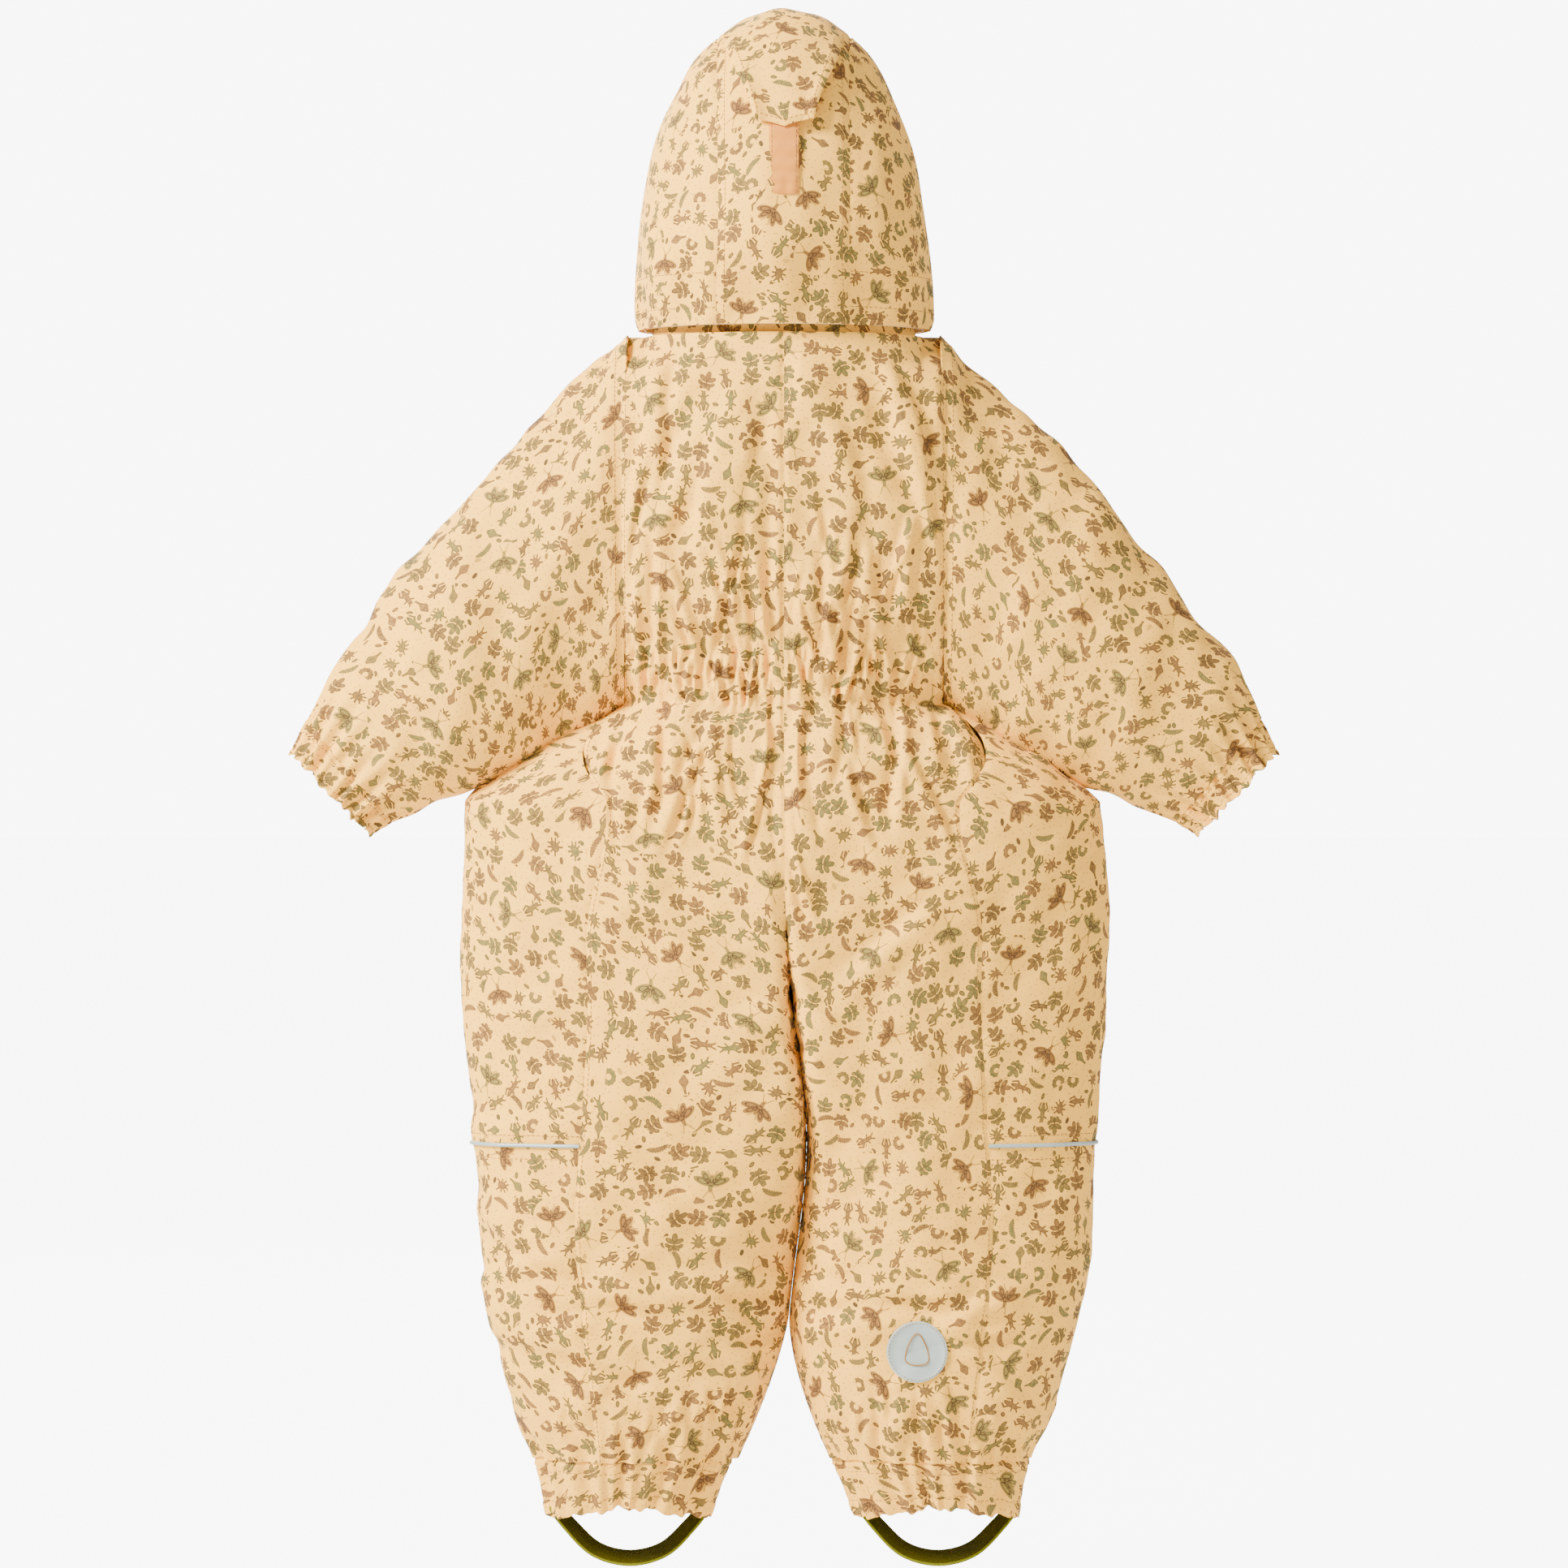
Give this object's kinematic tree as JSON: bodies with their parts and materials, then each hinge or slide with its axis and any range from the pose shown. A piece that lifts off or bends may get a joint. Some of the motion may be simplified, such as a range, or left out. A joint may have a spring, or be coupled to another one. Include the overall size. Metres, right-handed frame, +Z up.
{
  "type": "child's hooded coverall",
  "caption": "Hooded outdoor coverall for a small child, with front zip, detachable hood, elastic waist, cuffs and ankles, and straps under the feet.",
  "frame": {"origin": "middle of the neckline, where the wearer's neck and shoulders hold the suit up", "axes": "+Z up; the wearer faces -Y, so +Y is the back; +X is the wearer's left"},
  "size_m": [0.654, 0.1606, 1.0381],
  "materials": {
    "shell_cloth": "matte",
    "elastic_cloth": "matte",
    "strap_elastic": "matte",
    "reflective": "satin",
    "zip_tape": "matte",
    "zip_plastic": "satin",
    "stud_metal": "satin",
    "hook_cloth": "matte",
    "label_cloth": "matte"
  },
  "bodies": {
    "torso": {"back_panel_left": "shell_cloth", "back_panel_right": "shell_cloth", "front_panel_left": "shell_cloth", "front_panel_right": "shell_cloth", "side_panel_left": "shell_cloth", "side_panel_right": "shell_cloth", "collar": "shell_cloth", "collar_stud_back": "stud_metal", "collar_stud_left": "stud_metal", "collar_stud_right": "stud_metal", "zip_tape_left": "zip_tape", "zip_tape_right": "zip_tape", "zip_teeth_left": "zip_plastic", "zip_teeth_right": "zip_plastic", "zip_bottom_stop": "zip_plastic", "wind_guard": "shell_cloth", "chin_guard": "shell_cloth", "waist_elastic": "elastic_cloth", "hanger_loop": "zip_tape", "neck_label": "label_cloth"},
    "zip_slider": {"zip_slider": "zip_plastic"},
    "zip_pull": {"zip_pull": "zip_plastic"},
    "hood_band": {"hood_hem_band": "shell_cloth", "hood_socket_back": "stud_metal", "hood_socket_left": "stud_metal", "hood_socket_right": "stud_metal"},
    "hood": {"hood_centre_panel": "shell_cloth", "hood_top_panel": "shell_cloth", "hood_side_left": "shell_cloth", "hood_side_right": "shell_cloth", "hood_face_binding": "shell_cloth", "loop_strip": "hook_cloth"},
    "hood_tab": {"hood_tab": "shell_cloth", "tab_hook_patch": "hook_cloth"},
    "sleeve_left": {"sleeve_left": "shell_cloth", "sleeve_cuff_left": "shell_cloth", "cuff_elastic_left": "elastic_cloth"},
    "leg_left": {"leg_back_left": "shell_cloth", "leg_front_left": "shell_cloth", "leg_side_upper_left": "shell_cloth", "leg_side_lower_left": "shell_cloth", "knee_piping_left": "reflective", "ankle_cuff_left": "shell_cloth", "ankle_elastic_left": "elastic_cloth"},
    "foot_strap_left": {"foot_strap_left": "strap_elastic"},
    "sleeve_right": {"sleeve_right": "shell_cloth", "sleeve_cuff_right": "shell_cloth", "cuff_elastic_right": "elastic_cloth"},
    "leg_right": {"leg_back_right": "shell_cloth", "leg_front_right": "shell_cloth", "leg_side_upper_right": "shell_cloth", "leg_side_lower_right": "shell_cloth", "knee_piping_right": "reflective", "ankle_cuff_right": "shell_cloth", "ankle_elastic_right": "elastic_cloth", "calf_patch": "reflective"},
    "foot_strap_right": {"foot_strap_right": "strap_elastic"}
  },
  "joints": [
    {"name": "zip_slide", "type": "slide", "parent": "torso", "child": "zip_slider", "axis": [0, 0, -1], "range_m": [0, 0.445]},
    {"name": "pull_swing", "type": "hinge", "parent": "zip_slider", "child": "zip_pull", "pos_m": [0, -0.074, 0.022], "axis": [-1, 0, 0], "range_deg": [0, 160]},
    {"name": "hood_unsnap", "type": "slide", "parent": "torso", "child": "hood_band", "axis": [0, 0, 1], "range_m": [0, 0.08]},
    {"name": "hood_fold", "type": "hinge", "parent": "hood_band", "child": "hood", "pos_m": [0, 0.062, 0.005], "axis": [-1, 0, 0], "range_deg": [0, 105]},
    {"name": "tab_lift", "type": "hinge", "parent": "hood", "child": "hood_tab", "pos_m": [0, 0.0245, 0.2085], "axis": [1, 0, 0], "range_deg": [0, 95]},
    {"name": "sleeve_left_raise", "type": "hinge", "parent": "torso", "child": "sleeve_left", "pos_m": [0.1072, 0, 0], "axis": [0, -1, 0], "range_deg": [0, 40]},
    {"name": "leg_left_spread", "type": "hinge", "parent": "torso", "child": "leg_left", "pos_m": [0.108, 0, -0.455], "axis": [0, -1, 0], "range_deg": [0, 18]},
    {"name": "foot_strap_left_swing", "type": "hinge", "parent": "leg_left", "child": "foot_strap_left", "pos_m": [0.1025, 0, -0.7775], "axis": [1, 0, 0], "range_deg": [-15, 15]},
    {"name": "sleeve_right_raise", "type": "hinge", "parent": "torso", "child": "sleeve_right", "pos_m": [-0.1072, 0, 0], "axis": [0, 1, 0], "range_deg": [0, 40]},
    {"name": "leg_right_spread", "type": "hinge", "parent": "torso", "child": "leg_right", "pos_m": [-0.108, 0, -0.455], "axis": [0, 1, 0], "range_deg": [0, 18]},
    {"name": "foot_strap_right_swing", "type": "hinge", "parent": "leg_right", "child": "foot_strap_right", "pos_m": [-0.1025, 0, -0.7775], "axis": [1, 0, 0], "range_deg": [-15, 15]}
  ]
}
